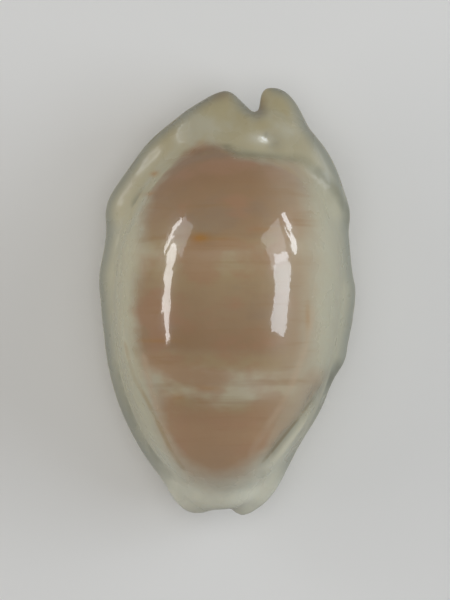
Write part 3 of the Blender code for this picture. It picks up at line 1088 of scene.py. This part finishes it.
def note_places(shell):
    """Where each colour of the shell lies: the tan, the inside, the painted shade along the outline, the
    lines, and the stains and painted spots.
    """
    places = places_of(shell)
    inside = inside_shell(shell)
    back = upper_share(shell) * (1 - inside)
    tan = plan_distance(places, TAN_OUTLINE, True)[0] / MM
    note(shell, "tan_depth", tan * back - FAR_FROM_LINE * (1 - back))
    note(shell, "inside", inside)
    note(shell, "beside_groove", beside_groove(places) * back)
    note(shell, "painted_outline_shade", outline_shade_share(places) * back)
    for wanted in LINE_COLOURS:
        routes = [route for kind, route, height, half_width in LINES if kind == wanted]
        nearest = np.minimum.reduce([line_distance(places, route) for route in routes])
        note(shell, wanted + "_distance", nearest + FAR_FROM_LINE * (1 - back))
    for name, spots, spot_colour in STAINS_AND_PAINTED_SPOTS:
        note(shell, name, np.clip(spot_share(places, spots) * back, 0.0, 1.0))


class Nodes:
    """Short ways to lay out the nodes of one material."""

    def __init__(self, name):
        self.material = bpy.data.materials.new(name)
        self.material.use_nodes = True
        self.tree = self.material.node_tree
        self.shader = self.tree.nodes["Principled BSDF"]

    def put(self, socket, value):
        """Links a node's output to the socket, or sets a plain value on it."""
        if isinstance(value, bpy.types.NodeSocket):
            self.tree.links.new(value, socket)
        else:
            socket.default_value = value

    def add(self, kind, values=(), **settings):
        """A node of this kind, with values for its inputs and settings of its own."""
        made = self.tree.nodes.new(kind)
        for name, value in settings.items():
            setattr(made, name, value)
        for key, value in dict(values).items():
            self.put(made.inputs[key], value)
        return made

    def kept(self, name):
        """The number kept under this name for each point of the mesh."""
        return self.add("ShaderNodeAttribute", attribute_name=name).outputs["Fac"]

    def place(self, stretch):
        """Object coordinates in millimetres, each axis times its stretch."""
        source = self.add("ShaderNodeTexCoord").outputs["Object"]
        scale = [part / MM for part in stretch]
        return self.add("ShaderNodeMapping", {"Vector": source, "Scale": scale}).outputs["Vector"]

    def axis(self, name):
        parts = self.add("ShaderNodeSeparateXYZ", {"Vector": self.place((1, 1, 1))})
        return parts.outputs[name]

    def noise(self, stretch, detail=2.0, roughness=0.5):
        values = {"Vector": self.place(stretch), "Scale": 1.0, "Detail": detail, "Roughness": roughness}
        return self.add("ShaderNodeTexNoise", values).outputs["Fac"]

    def math(self, operation, first, second=0.0):
        return self.add("ShaderNodeMath", {0: first, 1: second}, operation=operation).outputs[0]

    def cloud(self, name):
        """One of the cloudy patterns, from its least to its greatest share."""
        stretch, detail, roughness, span, shares = CLOUDS[name]
        return self.rise(self.noise(stretch, detail, roughness), *span, *shares)

    def wander(self, value, name):
        """The value, moved up and down by a noise to half its reach."""
        stretch, reach = WANDERS[name]
        swing = self.math("MULTIPLY", self.math("SUBTRACT", self.noise(stretch), 0.5), reach)
        return self.math("ADD", value, swing)

    def rise(self, value, start, end, low=0.0, high=1.0):
        """A smooth run from low at start to high at end."""
        values = {"Value": value, "From Min": start, "From Max": end, "To Min": low, "To Max": high}
        return self.add("ShaderNodeMapRange", values, interpolation_type="SMOOTHSTEP").outputs["Result"]

    def mix(self, share, first, second, blend="MIX"):
        values = {"Factor": share, "A": first, "B": second}
        made = self.add("ShaderNodeMix", data_type="RGBA", blend_type=blend)
        for socket in made.inputs:
            if socket.type in ("RGBA", "VALUE") and socket.name in values and socket.enabled:
                self.put(socket, values[socket.name])
        return next(socket for socket in made.outputs if socket.enabled)

    def ramp(self, value, stops, start, end):
        """A colour for the value, between stops that are given in the value's own units."""
        share = self.add("ShaderNodeMapRange", {"Value": value, "From Min": start, "From Max": end})
        made = self.add("ShaderNodeValToRGB", {"Fac": share.outputs["Result"]})
        elements = made.color_ramp.elements
        made.color_ramp.interpolation = "EASE"
        while len(elements) < len(stops):
            elements.new(1.0)
        for element, (where, colour) in zip(elements, stops):
            element.position = (where - start) / (end - start)
            element.color = colour
        return made.outputs["Color"]


def pale_bands(nodes):
    """How pale the back is in its bands across, wavy and patchy."""
    along = nodes.wander(nodes.axis("Y"), "bands")
    bands = nodes.ramp(along, BAND_STOPS, BACK_START, BACK_END)
    return nodes.math("MULTIPLY", bands, nodes.cloud("band_patches"))


def growth_lines(nodes):
    """Thin lines across the back, broken up by a broad noise."""
    return nodes.math("MULTIPLY", nodes.cloud("growth_lines"), nodes.cloud("growth_breaks"))


def tan_back(nodes, bands):
    """The tan enamel: darker and paler bands across, honey beside the pale ones, ash clouds, a blush,
    and rose at the anterior end."""
    colour = nodes.mix(bands, TAN, PALE_BAND)
    honey_start = nodes.rise(bands, *HONEY_START)
    honey_end = nodes.rise(bands, *HONEY_END, 0.0, HONEY_SHARE)
    colour = nodes.mix(nodes.math("MULTIPLY", honey_start, honey_end), colour, HONEY)
    colour = nodes.mix(nodes.cloud("ash"), colour, ASH)
    colour = nodes.mix(nodes.cloud("blush"), colour, BLUSH)
    return nodes.mix(nodes.rise(nodes.axis("Y"), *ROSE_RUN, 0.0, ROSE_SHARE), colour, ROSE)


def cream_callus(nodes):
    """The callus: olive cream at the posterior end, whiter at the anterior end, and greyer and darker
    towards the columella, partly painted shade there.
    """
    along = nodes.wander(nodes.axis("Y"), "callus")
    colour = nodes.ramp(along, CALLUS_STOPS, CALLUS_START, CALLUS_END)
    clouded = nodes.mix(nodes.cloud("callus"), colour, CALLUS_CLOUD)
    # Partly painted shade on the columellar side
    columellar = nodes.rise(nodes.axis("X"), *COLUMELLAR_SHADE_RUN, 0.0, COLUMELLAR_SHADE_SHARE)
    return nodes.mix(columellar, clouded, COLUMELLAR_CALLUS_AND_SHADE)


def tan_cover(nodes, bands):
    """Where the tan covers the callus: a streaky edge, softer in the bands and by the columella."""
    streaky = nodes.wander(nodes.kept("tan_depth"), "tan_streaks")
    depth = nodes.wander(streaky, "tan_edge")
    columellar = nodes.rise(nodes.axis("X"), *EDGE_WIDTH_RUN, *EDGE_WIDTHS)
    width = nodes.math("ADD", nodes.math("MULTIPLY", bands, EDGE_WIDTH_IN_BANDS), columellar)
    spread = nodes.rise(nodes.math("DIVIDE", depth, width), *TAN_EDGE)
    beside = nodes.math("MULTIPLY", nodes.kept("beside_groove"), BESIDE_GROOVE_SHARE)
    return nodes.math("MAXIMUM", spread, beside)


def shell_colour(nodes):
    """The tan back over the cream callus with painted shade along its outline, the lines and stains on
    them with their painted shade, highlight and reflection, the white base and the inside.
    """
    bands = pale_bands(nodes)
    covered = tan_cover(nodes, bands)
    side = nodes.wander(nodes.axis("X"), "pale_side")
    fading = nodes.rise(side, *PALE_SIDE_RUN, 0.0, PALE_SIDE_SHARE)
    paler = nodes.mix(fading, tan_back(nodes, bands), PALE_SIDE)
    # Painted shade along the outline, where the margins turn away from the light
    callus = nodes.mix(nodes.kept("painted_outline_shade"), cream_callus(nodes), OUTLINE_SHADE_GREY)
    colour = nodes.mix(covered, callus, paler)
    deep = nodes.rise(nodes.kept("tan_depth"), *GROWTH_EDGE)
    colour = nodes.mix(nodes.math("MULTIPLY", growth_lines(nodes), deep), colour, GROWTH_LINE)
    broken = nodes.cloud("line_breaks")
    # Crease and gutter colours are painted shade, the rim colour a painted highlight
    for kind, (line_colour, strength, reach) in LINE_COLOURS.items():
        share = nodes.rise(nodes.kept(kind + "_distance"), reach, LINE_CORE, 0.0, strength)
        colour = nodes.mix(nodes.math("MULTIPLY", share, broken), colour, line_colour)
    # Stains, and spots of painted shade and painted reflection
    for name, spots, spot_colour in STAINS_AND_PAINTED_SPOTS:
        colour = nodes.mix(nodes.kept(name), colour, spot_colour)
    colour = nodes.mix(nodes.rise(nodes.axis("Z"), *BASE_RUN), colour, BASE_WHITE)
    grooves = nodes.math("MULTIPLY", nodes.kept("between_teeth"), BETWEEN_TEETH_SHARE)
    colour = nodes.mix(grooves, colour, BETWEEN_TEETH)
    return nodes.mix(nodes.kept("inside"), colour, INSIDE)


def shell_relief(nodes):
    """Height in millimetres of the enamel's fine relief."""
    height = 0.0
    for stretch, detail, reach in RELIEF:
        height = nodes.math("ADD", height, nodes.math("MULTIPLY", nodes.noise(stretch, detail), reach))
    return height


def shell_material():
    """Enamel that is clear and glossy on the tan back and more satin on the callus."""
    nodes = Nodes("cowrie_enamel")
    shader = nodes.shader
    for name, value in ENAMEL.items():
        shader.inputs[name].default_value = value
    nodes.put(shader.inputs["Base Color"], shell_colour(nodes))
    back = nodes.rise(nodes.kept("tan_depth"), *GLOSS_EDGE)
    smoother = nodes.math("MULTIPLY", back, BACK_SMOOTHNESS)
    nodes.put(shader.inputs["Roughness"], nodes.math("SUBTRACT", nodes.cloud("satin"), smoother))
    pale_spot_gloss = nodes.math("MULTIPLY", nodes.kept("pale_spots"), PALE_SPOT_GLAZE)
    glazed = nodes.math("MAXIMUM", back, pale_spot_gloss)
    nodes.put(shader.inputs["Coat Weight"], nodes.rise(glazed, 0.0, 1.0, CALLUS_COAT, 1.0))
    bump = nodes.add("ShaderNodeBump", {"Height": shell_relief(nodes), "Strength": 1.0, "Distance": MM})
    nodes.put(shader.inputs["Normal"], bump.outputs["Normal"])
    nodes.put(shader.inputs["Coat Normal"], bump.outputs["Normal"])
    return nodes.material


def floor_material():
    material = bpy.data.materials.new("pale_floor")
    material.use_nodes = True
    shader = material.node_tree.nodes["Principled BSDF"]
    shader.inputs["Base Color"].default_value = FLOOR_COLOUR
    shader.inputs["Roughness"].default_value = 0.7
    return material


def add_floor():
    bpy.ops.object.select_all(action="DESELECT")
    bpy.ops.mesh.primitive_plane_add(size=2.0, location=(0, 0, shell_low[2]))
    floor = settle(bpy.context.object, "studio_floor")
    floor.data.materials.append(floor_material())
    floor.visible_glossy = False
    return floor


def add_panel(name, place, tall, long, radiance, colour):
    """A soft panel of light that faces the shell, with its length along Y."""
    bpy.ops.object.light_add(type="AREA", location=place)
    panel = bpy.context.object
    panel.name = name
    panel.data.shape = "RECTANGLE"
    panel.data.size = long
    panel.data.size_y = tall
    panel.data.energy = radiance * math.pi * tall * long
    panel.data.color = colour
    away = Vector(place) - Vector((0, 0, SHELL_HEIGHT / 2))
    panel.rotation_euler = away.to_track_quat("Z", "Y").to_euler()
    return panel


def add_lights():
    """Panels beside the shell, a broad one overhead that its gloss doesn't show, and even light."""
    for name, sign, along, up, tall, long, radiance, colour in PANELS:
        place = (sign * PANEL_DISTANCE, along * PANEL_DISTANCE, up * PANEL_DISTANCE)
        add_panel(name, place, tall * PANEL_DISTANCE, long * PANEL_DISTANCE, radiance, colour)
    height = OVERHEAD_HEIGHT * PANEL_DISTANCE
    side = OVERHEAD_SIDE * PANEL_DISTANCE
    overhead = add_panel("overhead_panel", (0, 0, height), side, side, OVERHEAD_LIGHT, SOFT_WHITE)
    overhead.visible_glossy = False
    world = bpy.data.worlds.new("studio_air")
    bpy.context.scene.world = world
    world.use_nodes = True
    air = world.node_tree.nodes["Background"]
    air.inputs["Color"].default_value = (*SOFT_WHITE, 1.0)
    air.inputs["Strength"].default_value = AIR_LIGHT


def add_camera():
    """Straight above the shell, with the posterior end at the top of the picture."""
    lens = 300
    sensor = 36
    rim = 2.0 * MM
    distance = lens / sensor * PICTURE_HEIGHT * PIXEL
    x = (PICTURE_WIDTH / 2 - SHELL_MIDDLE_IN_PICTURE[0]) * PIXEL
    y = (SHELL_MIDDLE_IN_PICTURE[1] - PICTURE_HEIGHT / 2) * PIXEL
    bpy.ops.object.camera_add(location=(x, y, rim + distance), rotation=(0, 0, 0))
    camera = bpy.context.object
    camera.data.lens = lens
    camera.data.sensor_width = sensor
    camera.data.clip_start = 0.01
    camera.data.clip_end = 10
    bpy.context.scene.camera = camera


shell = build_shell()
note_places(shell)
shell.data.materials.clear()
shell.data.materials.append(shell_material())
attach(shell, "root")
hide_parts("shell")
add_floor()
add_lights()
add_camera()
scene = bpy.context.scene
scene.view_settings.view_transform = "Standard"
